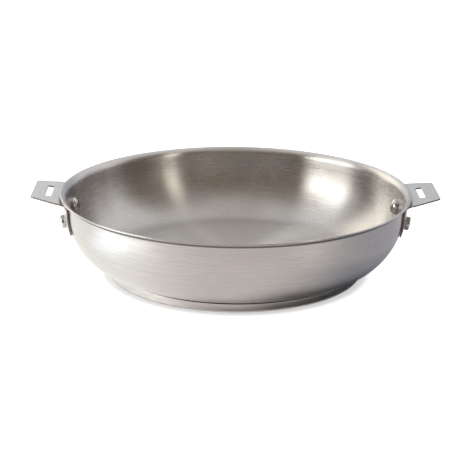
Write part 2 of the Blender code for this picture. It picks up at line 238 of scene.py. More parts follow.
TAB_HEIGHT_AT_LIP = PAN_HEIGHT - TAB_DROP
TAB_FLAT_START = RIM_RADIUS + TAB_FLAT_SETBACK
SLOT_START = RIM_RADIUS + SLOT_SETBACK
TAB_END = SLOT_START + SLOT_WIDTH + SLOT_TO_TAB_END
SLOT_HALF = TAB_ROOT_HALF - TAB_TAPER - SLOT_END_MARGIN
LEG_HALF = TAB_ROOT_HALF + SHOULDER
BEND_START = TAB_HEIGHT_AT_LIP - BEND_DROP
RIVET_HEIGHT = BEND_START - RIVET_BELOW_BEND
LEG_BOTTOM = RIVET_HEIGHT - LEG_BELOW_RIVET
RIVET_SIDE = LEG_HALF - RIVET_EDGE_DISTANCE
LEG_LENGTH = BEND_START - LEG_BOTTOM
TAB_START = LEG_LENGTH + BEND_LENGTH
TAB_LENGTH = TAB_END - TAB_FLAT_START
STRIP_LENGTH = TAB_START + TAB_LENGTH


def arc_points(centre, radius, start, end, steps):
    """Points on an arc round a centre, from the start angle to the end angle."""
    points = []
    for step in range(steps + 1):
        angle = start + (end - start) * step / steps
        points.append(centre + radius * Vector((math.cos(angle), math.sin(angle))))
    return points


def even_points(start, end, steps):
    """Points between two ends, without the ends."""
    return [start.lerp(end, step / steps) for step in range(1, steps)]


def wall_radius(height):
    """The radius of the wall's outside at a height, up to the lip."""
    left = (SHELL_BOTTOM + TURN_HEIGHT - height) / TURN_HEIGHT
    left = min(max(left, 0.0), 1.0)
    turned = (1.0 - left**TURN_EASE) ** (1.0 / TURN_FULLNESS)
    lean = WALL_SLOPE * (height - SHELL_BOTTOM)
    return FOOT_RADIUS + (WALL_FOOT_RADIUS - FOOT_RADIUS) * turned + lean


def link(piece):
    """Puts a piece in the scene."""
    bpy.context.scene.collection.objects.link(piece)
    return piece


def dress(piece, node):
    """A finished piece takes the place of one node of the frame."""
    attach(piece, "root")
    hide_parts(node)


def smooth_mesh(bm, name, *materials):
    """Turns the faces outward, shades them smooth and makes a mesh of them."""
    bmesh.ops.recalc_face_normals(bm, faces=bm.faces)
    mesh = bpy.data.meshes.new(name)
    bm.to_mesh(mesh)
    bm.free()
    mesh.shade_smooth()
    for material in materials:
        mesh.materials.append(material)
    return mesh


def turned_mesh(name, profile, steps, *materials, second_from=None):
    """A solid turned round Z from (radius, height) points that start and end on the axis.

    Faces from the profile point second_from onward get the second material.
    """
    bm = bmesh.new()
    start = bm.verts.new((0.0, 0.0, profile[0].y))
    end = bm.verts.new((0.0, 0.0, profile[-1].y))
    rings = []
    for radius, height in profile[1:-1]:
        ring = []
        for step in range(steps):
            angle = 2.0 * math.pi * step / steps
            ring.append(bm.verts.new((radius * math.cos(angle), radius * math.sin(angle), height)))
        rings.append(ring)
    change = len(profile) if second_from is None else second_from
    last = 1 if change < len(profile) else 0
    for step in range(steps):
        after = (step + 1) % steps
        bm.faces.new((start, rings[0][after], rings[0][step]))
        bm.faces.new((end, rings[-1][step], rings[-1][after])).material_index = last
        for index, (ring, next_ring) in enumerate(zip(rings, rings[1:])):
            face = bm.faces.new((ring[step], ring[after], next_ring[after], next_ring[step]))
            face.material_index = 1 if index + 1 >= change else 0
    return smooth_mesh(bm, name, *materials)


def turn_points():
    """The wall's outside from the foot up to the lip."""
    points = []
    for step in range(TURN_STEPS + 1):
        angle = 0.5 * math.pi * step / TURN_STEPS
        left = max(math.cos(angle), 0.0) ** (2.0 / TURN_EASE)
        height = SHELL_BOTTOM + TURN_HEIGHT * (1.0 - left)
        points.append(Vector((wall_radius(height), height)))
    return points + even_points(points[-1], Vector((WALL_TOP_RADIUS, WALL_TOP_HEIGHT)), WALL_STEPS)


def inward_offset(points, distance):
    """The same line moved square to itself, towards the inside of the pan."""
    moved = []
    for index, point in enumerate(points):
        before = points[max(index - 1, 0)]
        after = points[min(index + 1, len(points) - 1)]
        along = (after - before).normalized()
        moved.append(point + distance * Vector((-along.y, along.x)))
    return moved


def shell_profile():
    """The pressed sheet, up outside, over the lip and down inside, and where the lip's edge begins."""
    outside = turn_points()
    inside = inward_offset(outside, SHELL_SHEET)
    inside[0] = Vector((FOOT_RADIUS, SHELL_BOTTOM + SHELL_SHEET))
    lip_start = math.pi - WALL_LEAN
    lip_end = math.pi - LIP_END_ANGLE
    edge_centre = Vector((LIP_END_RADIUS, LIP_END_HEIGHT))
    bottom_centre = Vector((0.0, SHELL_BOTTOM))
    floor_centre = Vector((0.0, SHELL_BOTTOM + SHELL_SHEET))
    profile = [bottom_centre]
    profile += even_points(bottom_centre, outside[0], FLOOR_STEPS)
    profile += outside
    profile += arc_points(LIP_CENTRE, LIP_OUTSIDE, lip_start, lip_end, LIP_STEPS)
    edge_start = len(profile)
    profile += arc_points(edge_centre, 0.5 * SHELL_SHEET, lip_end - math.pi, lip_end, EDGE_STEPS)[1:-1]
    profile += arc_points(LIP_CENTRE, LIP_INSIDE, lip_end, lip_start, LIP_STEPS)
    profile += reversed(inside)
    profile += even_points(inside[0], floor_centre, FLOOR_STEPS)
    profile.append(floor_centre)
    return profile, edge_start


def cap_profile():
    """The cup under the base, with a rounded bottom edge and a rounded rim."""
    edge_centre = Vector((BASE_RADIUS - CAP_EDGE_RADIUS, CAP_EDGE_RADIUS))
    rim_height = CAP_HEIGHT - CAP_RIM_RADIUS
    outer_rim = Vector((BASE_RADIUS - CAP_RIM_RADIUS, rim_height))
    inner_rim = Vector((BASE_RADIUS - CAP_SHEET + CAP_RIM_RADIUS, rim_height))
    down, side, up = -0.5 * math.pi, 0.0, 0.5 * math.pi
    inner_edge = arc_points(edge_centre, CAP_EDGE_RADIUS - CAP_SHEET, side, down, EDGE_STEPS)
    under_centre = Vector((0.0, 0.0))
    inner_centre = Vector((0.0, CAP_SHEET))
    outer_edge = arc_points(edge_centre, CAP_EDGE_RADIUS, down, side, EDGE_STEPS)
    profile = [under_centre]
    profile += even_points(under_centre, outer_edge[0], FLOOR_STEPS)
    profile += outer_edge
    profile += even_points(outer_edge[-1], Vector((BASE_RADIUS, rim_height)), SMALL_EDGE_STEPS)
    profile += arc_points(outer_rim, CAP_RIM_RADIUS, side, up, SMALL_EDGE_STEPS)
    profile += arc_points(inner_rim, CAP_RIM_RADIUS, up, math.pi, SMALL_EDGE_STEPS)
    profile += even_points(Vector((BASE_RADIUS - CAP_SHEET, rim_height)), inner_edge[0], SMALL_EDGE_STEPS)
    profile += inner_edge
    profile += even_points(inner_edge[-1], inner_centre, FLOOR_STEPS)
    profile.append(inner_centre)
    return profile


def wall_slope(height):
    """How fast the wall's radius grows with height there."""
    above = wall_radius(height + SLOPE_STEP)
    below = wall_radius(height - SLOPE_STEP)
    return (above - below) / (2.0 * SLOPE_STEP)


def leg_point(height, side):
    """A point on the leg's face towards the wall."""
    radius = wall_radius(height) + FIT_GAP * math.hypot(1.0, wall_slope(height))
    return Vector((math.sqrt(radius**2 - side**2), side, height))


def tab_point(out, side):
    """A point on the tab's upper face."""
    return Vector((out, side, TAB_HEIGHT_AT_LIP + math.tan(TAB_TILT) * (out - RIM_RADIUS)))


def root_setback(side):
    """How much nearer the pan the flat of the tab begins at its sides."""
    return side**2 / (2.0 * TAB_ROOT_CURVE_RADIUS)


def bend_point(share, side):
    """A point in the bend: a curve along both the leg's line and the tab's."""
    start = leg_point(BEND_START, side)
    below = leg_point(BEND_START - SLOPE_STEP, side)
    slope = (start.x - below.x) / SLOPE_STEP
    end = tab_point(TAB_FLAT_START - root_setback(side), side)
    rise = math.tan(TAB_TILT)
    meet_height = (end.z + rise * (start.x - slope * start.z - end.x)) / (1.0 - rise * slope)
    meet = Vector((start.x + slope * (meet_height - start.z), side, meet_height))
    return (1.0 - share) ** 2 * start + 2.0 * share * (1.0 - share) * meet + share**2 * end


def strip_point(along, side):
    """A point on the flange's upper face, by its distance from the bottom of the leg."""
    if along <= LEG_LENGTH:
        return leg_point(LEG_BOTTOM + along, side)
    if along <= TAB_START:
        return bend_point((along - LEG_LENGTH) / BEND_LENGTH, side)
    out = along - TAB_START
    fade = max(1.0 - out / ROOT_FADE, 0.0) ** 2
    return tab_point(TAB_FLAT_START + out - root_setback(side) * fade, side)


def strip_normal(along, side):
    """The direction square to the flange's upper face, into the plate."""
    low = min(max(along - SLOPE_STEP, 0.0), STRIP_LENGTH - 2.0 * SLOPE_STEP)
    lengthwise = strip_point(low + 2.0 * SLOPE_STEP, side) - strip_point(low, side)
    across = strip_point(along, side + SLOPE_STEP) - strip_point(along, side - SLOPE_STEP)
    return across.cross(lengthwise).normalized()


def flare_half(along):
    """The flange's half-width in the bend, where the leg's shoulders draw in to the tab."""
    share = (along - LEG_LENGTH) / BEND_LENGTH
    return TAB_ROOT_HALF + SHOULDER * (1.0 - share) ** 2


def side_outline():
    """The strip's side from the bottom of the leg to the end of the tab, as (along, half-width)."""
    corner = LEG_CORNER_RADIUS
    half_turn, quarter_turn = math.pi, 0.5 * math.pi
    outline = arc_points(Vector((corner, LEG_HALF - corner)), corner, half_turn, quarter_turn, CORNER_STEPS)
    shoulder = Vector((LEG_LENGTH, LEG_HALF))
    shoulder_start = shoulder - Vector((SHOULDER_ROUNDING, 0.0))
    outline += even_points(outline[-1], shoulder_start, LEG_STEPS)
    flare_start = LEG_LENGTH + 0.5 * SHOULDER_ROUNDING
    shoulder_end = Vector((flare_start, flare_half(flare_start)))
    for step in range(SMALL_EDGE_STEPS + 1):
        share = step / SMALL_EDGE_STEPS
        first = shoulder_start.lerp(shoulder, share)
        outline.append(first.lerp(shoulder.lerp(shoulder_end, share), share))
    for step in range(1, BEND_STEPS + 1):
        along = flare_start + (TAB_START - flare_start) * step / BEND_STEPS
        outline.append(Vector((along, flare_half(along))))
    corner = TAB_CORNER_RADIUS
    for along in tab_rows():
        outline.append(Vector((along, tab_half(along))))
    for step in range(CORNER_STEPS + 1):
        angle = quarter_turn * step / CORNER_STEPS
        along = STRIP_LENGTH - corner * (1.0 - math.sin(angle))
        outline.append(Vector((along, tab_half(along) - corner * (1.0 - math.cos(angle)))))
    return outline


def tab_half(along):
    """The tab's half-width, by the distance from the bottom of the leg."""
    return TAB_ROOT_HALF - TAB_TAPER * (along - TAB_START) / TAB_LENGTH


def slot_rows(grown):
    """The slot's rows as (along, half-length), with the slot grown by a distance on every side."""
    near = TAB_START + SLOT_START - TAB_FLAT_START
    far = near + SLOT_WIDTH
    radius = SLOT_CORNER_RADIUS + grown
    centre_half = SLOT_HALF - SLOT_CORNER_RADIUS
    rows = []
    for step in range(CORNER_STEPS + 1):
        angle = 0.5 * math.pi * step / CORNER_STEPS
        along = near + SLOT_CORNER_RADIUS - radius * math.cos(angle)
        rows.append(Vector((along, centre_half + radius * math.sin(angle))))
    last = Vector((far - SLOT_CORNER_RADIUS, centre_half + radius))
    rows += even_points(rows[-1], last, SLOT_STEPS)
    for step in range(CORNER_STEPS + 1):
        angle = 0.5 * math.pi * step / CORNER_STEPS
        along = far - SLOT_CORNER_RADIUS + radius * math.sin(angle)
        rows.append(Vector((along, centre_half + radius * math.cos(angle))))
    return rows


def tab_rows():
    """Distances of the rows over the tab, up to its rounded corners."""
    slot = [row.x for row in slot_rows(0.0)]
    before = [TAB_START + (slot[0] - TAB_START) * step / TAB_STEPS for step in range(1, TAB_STEPS)]
    corner = STRIP_LENGTH - TAB_CORNER_RADIUS
    after = [slot[-1] + (corner - slot[-1]) * step / TAB_STEPS for step in range(1, TAB_STEPS)]
    return before + slot + after


def inset_outline(outline, inset):
    """The outline moved inward, square to itself."""
    moved = []
    for index, point in enumerate(outline):
        before = outline[max(index - 1, 0)]
        after = outline[min(index + 1, len(outline) - 1)]
        tangent = (after - before).normalized()
        if index == 0:
            tangent = Vector((0.0, 1.0))
        if index == len(outline) - 1:
            tangent = Vector((0.0, -1.0))
        moved.append(point + inset * Vector((tangent.y, -tangent.x)))
    return moved


def plate_rows(inset):
    """Rows of (along, side) points over the whole plate, drawn in from every edge, and the slot's rows."""
    outline = inset_outline(side_outline(), inset)
    slot = slot_rows(inset)
    first_slot = len(outline) - (CORNER_STEPS + 1) - (TAB_STEPS - 1) - len(slot)
    slot_end_half = SLOT_HALF - SLOT_CORNER_RADIUS
    rows = []
    for index, edge in enumerate(outline):
        inner = Vector((edge.x, slot_end_half))
        if first_slot <= index < first_slot + len(slot):
            inner = slot[index - first_slot]
        middle = []
        for step in range(SLOT_COLUMNS + 1):
            middle.append(Vector((inner.x, inner.y * (2.0 * step / SLOT_COLUMNS - 1.0))))
        right = [inner.lerp(edge, step / SIDE_COLUMNS) for step in range(1, SIDE_COLUMNS + 1)]
        left = [Vector((point.x, -point.y)) for point in reversed(right)]
        rows.append(left + middle + right)
    return rows, first_slot, first_slot + len(slot) - 1


def plate_layer(bm, inset, depth):
    """The points of one layer of the plate, a depth below its upper face."""
    rows, first_slot, last_slot = plate_rows(inset)
    layer = []
    for row in rows:
        points = []
        for along, side in row:
            clamped = min(max(along, 0.0), STRIP_LENGTH)
            points.append(bm.verts.new(strip_point(clamped, side) + depth * strip_normal(clamped, side)))
        layer.append(points)
    return layer, first_slot, last_slot


def border(layer, first_row, last_row, first_column, last_column):
    """The points round a block of a layer, in order."""
    rows = layer[first_row + 1 : last_row]
    points = layer[first_row][first_column : last_column + 1]
    points += [row[last_column] for row in rows]
    points += layer[last_row][first_column : last_column + 1][::-1]
    points += [row[first_column] for row in reversed(rows)]
    return points


def flange_mesh(name, face_material, cut_material):
    """The bent plate with rounded edges: two faces and a strip of layers round its side and its slot.

    The strip has the cut metal's finish below its upper rounding, painted darker as shade.
    """
    bm = bmesh.new()
    edge = PLATE_EDGE_RADIUS
    quarter_turn = 0.5 * math.pi
    steps = []
    for step in range(SMALL_EDGE_STEPS + 1):
        angle = quarter_turn * step / SMALL_EDGE_STEPS
        steps.append((edge * (1.0 - math.sin(angle)), edge * (1.0 - math.cos(angle))))
    steps += [(inset, FLANGE_PLATE - depth) for inset, depth in reversed(steps)]
    layers = [plate_layer(bm, inset, depth) for inset, depth in steps]
    columns = SLOT_COLUMNS + 2 * SIDE_COLUMNS
    slot_columns = (SIDE_COLUMNS, SIDE_COLUMNS + SLOT_COLUMNS)
    for layer, first_slot, last_slot in (layers[0], layers[-1]):
        for index, (row, next_row) in enumerate(zip(layer, layer[1:])):
            for column in range(columns):
                in_slot = first_slot <= index < last_slot and slot_columns[0] <= column < slot_columns[1]
                if not in_slot:
                    bm.faces.new((row[column], row[column + 1], next_row[column + 1], next_row[column]))
    for depth_index, ((upper, first_slot, last_slot), (lower, _, _)) in enumerate(zip(layers, layers[1:])):
        around = (0, len(upper) - 1, 0, columns)
        hole = (first_slot, last_slot, *slot_columns)
        for block in (around, hole):
            high, low = border(upper, *block), border(lower, *block)
            for index in range(len(high)):
                after = (index + 1) % len(high)
                face = bm.faces.new((high[index], high[after], low[after], low[index]))
                face.material_index = 1 if depth_index >= SMALL_EDGE_STEPS - 1 else 0
    loose = [vert for vert in bm.verts if not vert.link_faces]
    bmesh.ops.delete(bm, geom=loose, context="VERTS")
    return smooth_mesh(bm, name, face_material, cut_material)


def rivet_profile():
    """The rivet along its axis, outward from 0 at the wall's outside, inner head first."""
    seat = -SHELL_SHEET
    dome_base = seat - INNER_HEAD_EDGE
    dome_rise = INNER_HEAD_RISE - INNER_HEAD_EDGE
    outer_seat = FIT_GAP + FLANGE_PLATE
    outer_top = outer_seat + FIT_GAP + OUTER_HEAD_THICKNESS
    bevel_centre = Vector((OUTER_HEAD_RADIUS - OUTER_HEAD_BEVEL, outer_top - OUTER_HEAD_BEVEL))
    profile = []
    for step in range(DOME_STEPS + 1):
        angle = 0.5 * math.pi * step / DOME_STEPS
        profile.append(Vector((INNER_HEAD_RADIUS * math.sin(angle), dome_base - dome_rise * math.cos(angle))))
    profile.append(Vector((INNER_HEAD_RADIUS, seat)))
    profile.append(Vector((SHANK_RADIUS, seat)))
    profile.append(Vector((SHANK_RADIUS, outer_seat)))
    profile.append(Vector((OUTER_HEAD_RADIUS, outer_seat)))
    profile += arc_points(bevel_centre, OUTER_HEAD_BEVEL, 0.0, 0.5 * math.pi, EDGE_STEPS)
    profile.append(Vector((0.0, outer_top)))
    return profile


def rivet_place(side):
    """The frame of a rivet on the right flange: its seat on the wall's outside, with Z outward."""
    radius = wall_radius(RIVET_HEIGHT)
    turn = math.asin(side / radius)
    lean = math.atan(wall_slope(RIVET_HEIGHT))
    outward = Matrix.Rotation(0.5 * math.pi + lean, 4, "Y")
    seat = Vector((radius * math.cos(turn), radius * math.sin(turn), RIVET_HEIGHT))
    return Matrix.Translation(seat) @ Matrix.Rotation(turn, 4, "Z") @ outward


def add_node(tree, kind, settings, inputs):
    """A node with its settings, and each input either linked to a socket or given a value."""
    node = tree.nodes.new(kind)
    for name, value in settings.items():
        setattr(node, name, value)
    for name, value in inputs.items():
        if isinstance(value, bpy.types.NodeSocket):
            tree.links.new(value, node.inputs[name])
        else:
            node.inputs[name].default_value = value
    return node


def calculate(tree, operation, *values):
    """One step of arithmetic on values or sockets."""
    return add_node(tree, "ShaderNodeMath", {"operation": operation}, dict(enumerate(values))).outputs[0]


def spread(tree, value, start, end, low, high):
    """Turns a value between start and end smoothly into one between low and high."""
    limits = {"Value": value, "From Min": start, "From Max": end, "To Min": low, "To Max": high}
    return add_node(tree, "ShaderNodeMapRange", {"interpolation_type": "SMOOTHSTEP"}, limits).outputs[0]


def spread_noise(tree, value, low, high):
    """Turns a noise into one that runs from low to high."""
    return spread(tree, value, NOISE_LOW, NOISE_HIGH, low, high)


def noise(tree, vector, scale, detail):
    """A noise between 0 and 1."""
    inputs = {"Vector": vector, "Scale": scale, "Detail": detail}
    return add_node(tree, "ShaderNodeTexNoise", {}, inputs).outputs["Fac"]


def mix_colours(tree, share, first, second):
    """The first colour at a share of 0 and the second at 1."""
    settings = {"data_type": "RGBA"}
    inputs = {MIX_SHARE: share, MIX_FIRST: first, MIX_SECOND: second}
    return add_node(tree, "ShaderNodeMix", settings, inputs).outputs[MIX_RESULT]


def object_place(tree):
    """The place on the piece, in its own metres."""
    return add_node(tree, "ShaderNodeTexCoord", {}, {}).outputs["Object"]


def turned_place(tree):
    """A measure along the profile, the direction round the axis, the radius and the height, with no seam."""
    place = object_place(tree)
    flat = add_node(tree, "ShaderNodeVectorMath", {"operation": "MULTIPLY"}, {0: place, 1: (1.0, 1.0, 0.0)})
    radius = add_node(tree, "ShaderNodeVectorMath", {"operation": "LENGTH"}, {0: flat.outputs[0]})
    way = add_node(tree, "ShaderNodeVectorMath", {"operation": "NORMALIZE"}, {0: flat.outputs[0]})
    height = add_node(tree, "ShaderNodeSeparateXYZ", {}, {"Vector": place}).outputs["Z"]
    along = calculate(tree, "ADD", radius.outputs["Value"], height)
    return along, way.outputs[0], radius.outputs["Value"], height


def turned_grain(tree, along, way, spacing, reach, detail):
    """Noise in rings: lines of a spacing across them, each as long as a reach in radians."""
    around = add_node(tree, "ShaderNodeVectorMath", {"operation": "SCALE"}, {0: way, "Scale": 1.0 / reach})
    place = add_node(tree, "ShaderNodeSeparateXYZ", {}, {"Vector": around.outputs[0]})
    lines = calculate(tree, "MULTIPLY", along, 1.0 / spacing)
    inputs = {"X": lines, "Y": place.outputs["X"], "Z": place.outputs["Y"]}
    vector = add_node(tree, "ShaderNodeCombineXYZ", {}, inputs).outputs["Vector"]
    return noise(tree, vector, 1.0, detail)


def steel_shader(name, anisotropic):
    """A bare metal whose brushing, if it has any, runs in rings round Z."""
    material = bpy.data.materials.new(name)
    material.use_nodes = True
    tree = material.node_tree
    shader = tree.nodes["Principled BSDF"]
    shader.inputs["Metallic"].default_value = 1.0
    shader.inputs["Anisotropic"].default_value = anisotropic
    shader.inputs["Anisotropic Rotation"].default_value = RING_TURN
    if anisotropic > 0.0:
        tangent = add_node(tree, "ShaderNodeTangent", {"direction_type": "RADIAL", "axis": "Z"}, {})
        tree.links.new(tangent.outputs["Tangent"], shader.inputs["Tangent"])
    return material, tree, shader


def worn_roughness(tree, grain, roughness, wear):
    """The roughness, made uneven by up to the wear along the grain and again in smudges."""
    smudge = noise(tree, object_place(tree), SMUDGE_SCALE, SMUDGE_DETAIL)
    along_grain = spread_noise(tree, grain, -wear, wear)
    uneven = calculate(tree, "ADD", along_grain, spread_noise(tree, smudge, -wear, wear))
    return calculate(tree, "ADD", uneven, roughness)


def finish_steel(tree, shader, colour, roughness, grain):
    """Links the colour and the roughness, and lets the grain stand a little proud."""
    tree.links.new(colour, shader.inputs["Base Color"])
    tree.links.new(roughness, shader.inputs["Roughness"])
    relief = {"Strength": 1.0, "Distance": GRAIN_DEPTH, "Height": grain}
    bump = add_node(tree, "ShaderNodeBump", {}, relief)
    tree.links.new(bump.outputs["Normal"], shader.inputs["Normal"])


def turned_steel(name, roughness, middle_roughness, wear, anisotropic, shade_rings=()):
    """Steel brushed in rings, with fine lines, broader bands, smudges and a middle of its own roughness.

    Each ring listed last is the four heights of a ring of painted shade and its share of the colour.
    """
    material, tree, shader = steel_shader(name, anisotropic)
    along, way, radius, height = turned_place(tree)
    fine = turned_grain(tree, along, way, FINE_LINES, FINE_REACH, FINE_DETAIL)
    broad = turned_grain(tree, along, way, BROAD_LINES, BROAD_REACH, BROAD_DETAIL)
    grain = calculate(tree, "MULTIPLY_ADD", fine, FINE_SHARE, calculate(tree, "MULTIPLY", broad, BROAD_SHARE))
    colour = mix_colours(tree, spread_noise(tree, grain, 0.0, 1.0), STEEL_DARK, STEEL_PALE)
    # Painted shade: each ring mixes the colour towards the near-black shade colour
    for (start, full_start, full_end, end), share in shade_rings:
        rising = spread(tree, height, start, full_start, 0.0, share)
        falling = spread(tree, height, full_end, end, 1.0, 0.0)
        colour = mix_colours(tree, calculate(tree, "MULTIPLY", rising, falling), colour, PAINTED_SHADE_STEEL)
    zones = spread(tree, radius, MIDDLE_START, MIDDLE_END, middle_roughness, roughness)
    finish_steel(tree, shader, colour, worn_roughness(tree, grain, zones, wear), grain)
    return material


def plain_steel(name, pale, dark, roughness, wear, scale, stretch, shade_from=None):
    """Metal with a fine grain, drawn out where the stretch is under 1, and faint smudges.

    From a given radius outward it darkens into painted shade.
    """
    material, tree, shader = steel_shader(name, 0.0)
    place = object_place(tree)
    drawn = add_node(tree, "ShaderNodeVectorMath", {"operation": "MULTIPLY"}, {0: place, 1: stretch})
    grain = noise(tree, drawn.outputs[0], scale, GRAIN_DETAIL)
    colour = mix_colours(tree, spread_noise(tree, grain, 0.0, 1.0), dark, pale)
    # Painted shade: the colour darkens from that radius outward
    if shade_from is not None:
        radius = turned_place(tree)[2]
        shade_share = spread(tree, radius, shade_from - SHADE_FADE, shade_from, 0.0, 1.0)
        colour = mix_colours(tree, shade_share, colour, PAINTED_SHADE_STEEL)
    finish_steel(tree, shader, colour, worn_roughness(tree, grain, roughness, wear), grain)
    return material


def card_material(name, light):
    """Gives off light of its own where the card is whole, and fades to clear towards its edges."""
    material = bpy.data.materials.new(name)
    material.use_nodes = True
    tree = material.node_tree
    tree.nodes.clear()
    glow = add_node(tree, "ShaderNodeEmission", {}, {"Color": (*light, 1.0)})
    clear = add_node(tree, "ShaderNodeBsdfTransparent", {}, {})
    whole = add_node(tree, "ShaderNodeAttribute", {"attribute_name": WHOLE}, {}).outputs["Fac"]
    mix = add_node(tree, "ShaderNodeMixShader", {}, {0: whole, 1: clear.outputs[0], 2: glow.outputs[0]})
    add_node(tree, "ShaderNodeOutputMaterial", {}, {"Surface": mix.outputs[0]})
    return material


def fade_in(distance, width):
    """Smoothly from 0 at the start of a fade to 1 at its end, and 1 all along where there is no fade."""
    share = min(max(distance / width, 0.0), 1.0) if width > 0.0 else 1.0
    return share * share * (3.0 - 2.0 * share)


def whole_share(value, limits):
    """How whole a card is there: it fades in over the first two limits and out over the last two."""
    fade_start, start, end, fade_end = limits
    return fade_in(value - fade_start, start - fade_start) * fade_in(fade_end - value, fade_end - end)


def make_card(name, light, around, across, place, crowding=1.0):
    """A studio card that only shows in glossy surfaces, from limits round the pan in degrees and across it.

    place turns an angle round the pan, from the front towards the right, and a distance across
    the card into a point. crowding draws the rows together towards the first limit.
    """
    bm = bmesh.new()
    rows, shares = [], []
    for row_step in range(CARD_ROWS + 1):
        distance = across[0] + (across[3] - across[0]) * (row_step / CARD_ROWS) ** crowding
        row = []
        for column in range(CARD_COLUMNS + 1):
            angle = around[0] + (around[3] - around[0]) * column / CARD_COLUMNS
            row.append(bm.verts.new(place(math.radians(angle), distance)))
            shares.append(whole_share(angle, around) * whole_share(distance, across))
        rows.append(row)
    for row, next_row in zip(rows, rows[1:]):
        for column in range(CARD_COLUMNS):
            bm.faces.new((row[column], row[column + 1], next_row[column + 1], next_row[column]))
    mesh = bpy.data.meshes.new(name)
    bm.to_mesh(mesh)
    bm.free()
    attribute = mesh.attributes.new(WHOLE, "FLOAT", "POINT")
    attribute.data.foreach_set("value", shares)
    mesh.materials.append(card_material(name, light))
    card = link(bpy.data.objects.new(name, mesh))
    card.visible_camera = False
    card.visible_diffuse = False
    card.visible_transmission = False
    card.visible_shadow = False


def dome_place(radius):
    """Points of a card that stands round the pan, with the distance across it as degrees above the floor."""

    def place(angle, degrees):
        up = math.radians(degrees)
        out = radius * math.cos(up)
        return (out * math.sin(angle), -out * math.cos(angle), radius * math.sin(up))

    return place


def mat_place(height):
    """Points of a card that lies on the floor, with the distance across it as metres from the pan's axis."""

    def place(angle, radius):
        return (radius * math.sin(angle), -radius * math.cos(angle), height)

    return place


def make_cards():
    """Dark flags, pale softboxes and a strip round the pan, and mats on the floor, whose pale and dark
    patches are painted light and painted shadow.
    """
    all_round = (0, 0, 360, 360)
    # Name, light, limits round the pan, limits above the floor, distance from the pan
    standing = (
        ("flag_front", (0.19, 0.14, 0.1), (-89, -64, 82, 106), (0, 0, 47, 76), 3.0),
        ("soft_top", (0.71, 0.63, 0.58), all_round, (70, 80, 89, 89), 2.95),
        ("soft_strip", (2.0, 1.86, 1.6), (41, 46, 51, 57), (0, 6, 41, 48), 2.9),
        ("card_right", (0.58, 0.54, 0.66), (99, 112, 127, 140), (0, 0, 14, 25), 2.85),
        ("card_behind", (0.54, 0.56, 0.63), (140, 155, 176, 192), (0, 0, 21, 33), 2.82),
        ("soft_back", (1.95, 1.83, 1.64), (198, 208, 228, 240), (0, 0, 32, 50), 2.8),
        ("flag_left", (0.45, 0.41, 0.38), (237, 244, 251, 258), (0, 0, 40, 55), 2.78),
        ("soft_left", (5.2, 5.12, 4.85), (260, 273, 297, 311), (0, 0, 22, 32), 2.75),
    )
    for name, light, around, up, radius in standing:
        make_card(name, light, around, up, dome_place(radius))
    near, far = BASE_RADIUS + MAT_GAP, MAT_REACH
    # The mats show only in gloss: the even mat is the floor, the pale ones are painted light on it and the
    # dark ones painted shadow of the pan on it
    # Name, light, limits round the pan, limits out from its axis, height in millimetres, crowding
    lying = (
        ("mat", (0.88, 0.82, 0.8), all_round, (near, near, far, far), 0.2, 3.0),
        # Painted shadow of the pan on the floor round its right and back
        ("painted_shadow_mat_right", (0.25, 0.27, 0.32), (3, 58, 222, 278), (near, near, 0.12, 0.255), 0.4, 3.0),
        # Painted shade on the floor further out to the right
        ("painted_shade_mat_far_right", (0.45, 0.45, 0.5), (33, 77, 97, 141), (0.175, 0.2, far, far), 0.6, 3.0),
        # Painted light on the floor to the left
        ("painted_light_mat_left", (1.23, 1.21, 1.17), (198, 247, 304, 354), (near, near, far, far), 0.8, 3.0),
        # Painted pool of light on the floor to the left, for a bright reflection low on the wall
        ("painted_glow_mat", (1.78, 1.89, 1.97), (272, 287, 296, 311), (0.16, 0.21, 0.42, 0.56), 1.0, 1.0),
        # Painted contact shadow round the base
        ("painted_contact_shadow_mat", (0.3, 0.28, 0.26), (-30, 0, 234, 266), (near, near, 0.109, 0.12), 1.1, 1.0),
        # Painted shadow close to the base on its right
        ("painted_foot_shadow_mat", (0.03, 0.03, 0.03), (-5, 27, 234, 266), (near, near, 0.116, 0.137), 1.2, 1.0),
    )
    for name, light, around, out, height, crowding in lying:
        make_card(name, light, around, out, mat_place(height * MM), crowding)


def seen_or_mirrored(tree):
    """1 for rays from the camera, from a gloss and through glass, 0 for the rest."""
    light = add_node(tree, "ShaderNodeLightPath", {}, {})
    both = calculate(tree, "MAXIMUM", light.outputs["Is Camera Ray"], light.outputs["Is Glossy Ray"])
    return calculate(tree, "MAXIMUM", both, light.outputs["Is Transmission Ray"])


def make_world():
    """White where it is seen or mirrored, and a little dimmer as a light."""
    world = bpy.data.worlds.new("studio")
    bpy.context.scene.world = world
    world.use_nodes = True
    tree = world.node_tree
    strength = calculate(tree, "MULTIPLY_ADD", seen_or_mirrored(tree), 1.0 - WORLD_LIGHT, WORLD_LIGHT)
    tree.links.new(strength, tree.nodes["Background"].inputs["Strength"])
    tree.nodes["Background"].inputs["Color"].default_value = (1.0, 1.0, 1.0, 1.0)


